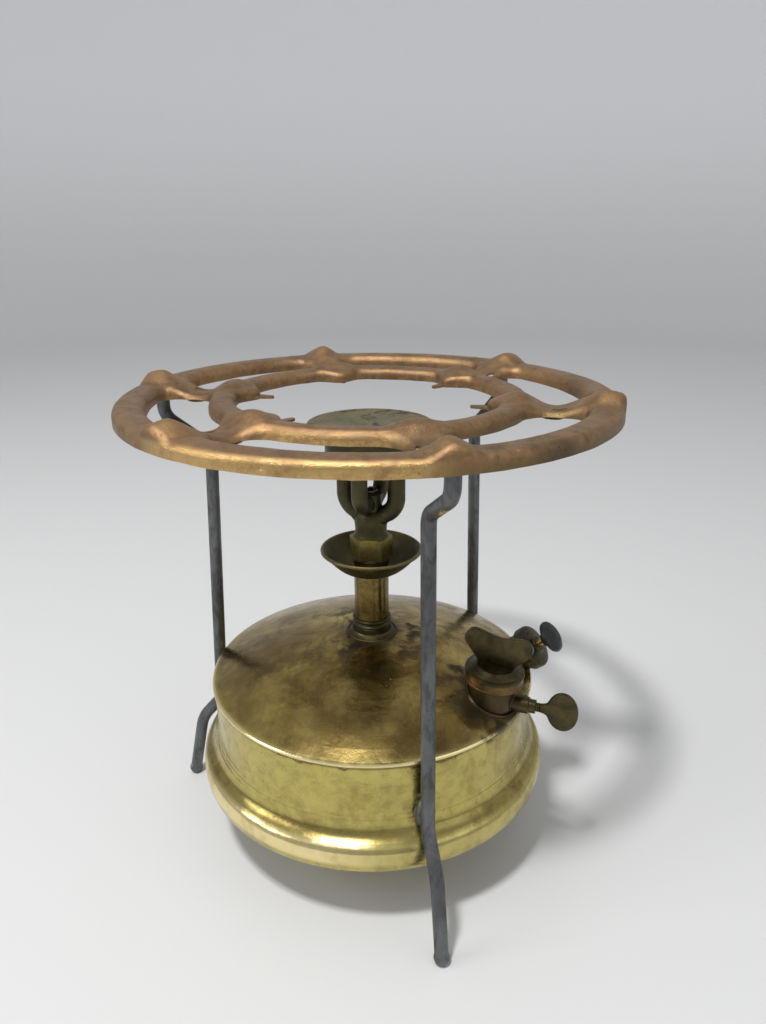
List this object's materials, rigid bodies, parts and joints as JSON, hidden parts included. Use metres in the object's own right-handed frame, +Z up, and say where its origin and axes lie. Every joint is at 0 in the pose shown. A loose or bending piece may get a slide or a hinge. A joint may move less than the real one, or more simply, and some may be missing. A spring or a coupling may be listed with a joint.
{
  "type": "paraffin pressure stove",
  "caption": "Pressure stove with a low round fuel tank, upright roarer burner, three bent rod legs, a pressed pan ring, a filler with an air screw, and a slanted hand pump.",
  "frame": {"origin": "on the ground, under the middle of the tank", "axes": "+Z up along the burner's axis; -Y towards the viewer's side, with the filler, air screw and pump at the right, +X"},
  "size_m": [0.2114, 0.2114, 0.2212],
  "materials": {
    "tank_brass": "aged, half polished, stained",
    "dark_brass": "tarnished",
    "burner_patina": "sooted olive patina",
    "ring_metal": "copper-brown patina with worn gold edges",
    "bright_brass": "clean",
    "leg_steel": "dull, mottled",
    "spring_steel": "plain",
    "solder": "dull solder and lead",
    "leather": "oiled",
    "rubber": "matt"
  },
  "bodies": {
    "stove": {"tank_shell": "tank_brass", "tank_bottom": "tank_brass", "riser_collar": "dark_brass", "riser_tube": "tank_brass", "dip_pipe": "bright_brass", "priming_cup": "burner_patina", "burner_washer": "solder", "burner_base": "burner_patina", "feed_tubes": "burner_patina", "return_tubes": "burner_patina", "jet_block": "burner_patina", "jet": "bright_brass", "burner_bowl": "burner_patina", "filler_neck": "dark_brass", "air_boss": "dark_brass", "pump_barrel": "dark_brass", "pump_cap": "dark_brass", "check_body": "bright_brass", "check_plug": "bright_brass", "leg_front": "leg_steel", "leg_left": "leg_steel", "leg_rear": "leg_steel", "leg_solder": "solder"},
    "pan_ring": {"pan_ring": "ring_metal"},
    "flame_plate": {"flame_plate": "burner_patina"},
    "filler_washer": {"filler_washer": "rubber"},
    "filler_cap": {"filler_cap": "dark_brass", "cap_wing": "dark_brass"},
    "air_screw": {"air_screw": "dark_brass"},
    "air_paddle": {"air_paddle": "dark_brass"},
    "pump_plunger": {"pump_rod": "bright_brass", "pump_knob": "leg_steel", "pump_leather": "leather", "leather_washers": "bright_brass", "pump_nut": "bright_brass"},
    "check_pip": {"check_pip": "rubber", "check_spring": "spring_steel"}
  },
  "joints": [
    {"name": "pan_ring_lift", "type": "slide", "parent": "stove", "child": "pan_ring", "axis": [0, 0, 1], "range_m": [0, 0.06]},
    {"name": "flame_plate_lift", "type": "slide", "parent": "stove", "child": "flame_plate", "axis": [0, 0, 1], "range_m": [0, 0.05]},
    {"name": "filler_cap_rise", "type": "slide", "parent": "stove", "child": "filler_washer", "axis": [0.0745, -0.0603, 0.9954], "range_m": [0, 0.0045]},
    {"name": "filler_cap_turn", "type": "hinge", "parent": "filler_washer", "child": "filler_cap", "pos_m": [0.04989, -0.0404, 0.08735], "axis": [0.0745, -0.0603, 0.9954], "range_deg": [0, 1082]},
    {"name": "air_screw_out", "type": "slide", "parent": "stove", "child": "air_screw", "axis": [0.9063, -0.4226, 0], "range_m": [0, 0.0014]},
    {"name": "air_screw_turn", "type": "hinge", "parent": "air_screw", "child": "air_paddle", "pos_m": [0.06978, -0.04965, 0.0866], "axis": [0.9063, -0.4226, 0], "range_deg": [0, 722]},
    {"name": "pump_stroke", "type": "slide", "parent": "stove", "child": "pump_plunger", "axis": [0.6536, -0.3774, 0.6561], "range_m": [0, 0.037]},
    {"name": "check_pip_open", "type": "slide", "parent": "stove", "child": "check_pip", "axis": [-0.6536, 0.3774, -0.6561], "range_m": [0, 0.0008], "stiffness_N_per_m": 60, "springref_m": -0.0008}
  ],
  "couplings": [
    {"joint": "filler_cap_turn", "follows": "filler_cap_rise", "rad_per_m": 4188.8},
    {"joint": "air_screw_turn", "follows": "air_screw_out", "rad_per_m": 8976}
  ]
}
